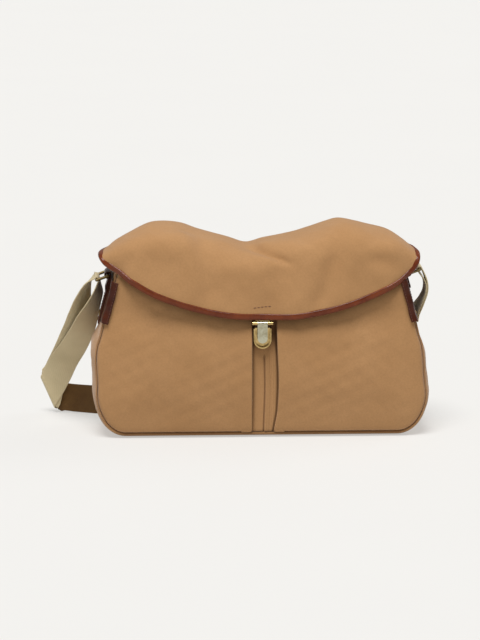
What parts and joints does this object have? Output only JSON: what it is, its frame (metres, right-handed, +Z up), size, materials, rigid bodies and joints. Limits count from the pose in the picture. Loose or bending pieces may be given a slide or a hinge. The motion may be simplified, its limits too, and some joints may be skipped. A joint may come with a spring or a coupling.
{
  "type": "satchel_bag",
  "caption": "Canvas satchel bag with a curved leather-bound flap, lever clasp, pleated front pocket, side rings and a webbing shoulder strap lying behind it",
  "frame": {"origin": "centre of the flat base, where the bag stands on a surface", "axes": "+X right seen from the front, +Y towards the back panel and the strap, +Z up"},
  "size_m": [0.5159, 0.1892, 0.2695],
  "materials": {
    "canvas": "fine cotton canvas twill, tan, matt",
    "canvas_dark": "cotton canvas and tape in shade, tan",
    "board": "dark stiffener board",
    "binding_leather": "reddish brown bridle leather, polished",
    "dark_leather": "very dark brown leather, semi-gloss",
    "webbing": "ribbed olive-cream cotton webbing",
    "brass": "polished cast brass",
    "nickel": "mirror-polished plated lever"
  },
  "bodies": {
    "bag": {"back_panel": "canvas", "front_panel": "canvas_dark", "gusset": "canvas", "base_board": "board", "mouth_binding": "canvas_dark", "pocket_panel_left": "canvas", "pocket_panel_right": "canvas", "pocket_pleat": "canvas_dark", "pocket_hem_left": "canvas_dark", "pocket_hem_right": "canvas_dark", "flap_seam_tape": "canvas_dark", "clasp_backing": "dark_leather", "clasp_receiver": "brass", "receiver_rivets": "brass", "corner_patch_left": "dark_leather", "corner_patch_right": "dark_leather", "chape_left": "dark_leather", "chape_right": "dark_leather", "chape_rivets_left": "brass", "chape_rivets_right": "brass", "strap_run": "webbing", "strap_return": "webbing"},
    "flap": {"flap_panel": "canvas", "flap_binding": "binding_leather", "closure_tab": "dark_leather", "tab_rivets": "brass", "clasp_bar": "brass", "clasp_pin": "brass"},
    "lever": {"clasp_lever": "nickel"},
    "left_ring": {"ring_left": "brass", "strap_loop_left": "webbing"},
    "right_ring": {"ring_right": "brass", "strap_loop_right": "webbing"},
    "slider": {"strap_slider": "brass"}
  },
  "joints": [
    {"name": "flap_hinge", "type": "hinge", "parent": "bag", "child": "flap", "pos_m": [0, 0.0575, 0.248], "axis": [-1, 0, 0], "range_deg": [0, 170]},
    {"name": "clasp_lever_pivot", "type": "hinge", "parent": "flap", "child": "lever", "pos_m": [0.003, -0.071, 0.154], "axis": [-1, 0, 0], "range_deg": [0, 60]},
    {"name": "left_ring_swing", "type": "hinge", "parent": "bag", "child": "left_ring", "pos_m": [-0.19695, 0, 0.20933], "axis": [0, 1, 0], "range_deg": [0, 60]},
    {"name": "right_ring_swing", "type": "hinge", "parent": "bag", "child": "right_ring", "pos_m": [0.19695, 0, 0.20933], "axis": [0, -1, 0], "range_deg": [0, 40]},
    {"name": "slider_travel", "type": "slide", "parent": "bag", "child": "slider", "axis": [1, 0, 0], "range_m": [0, 0.06]}
  ]
}
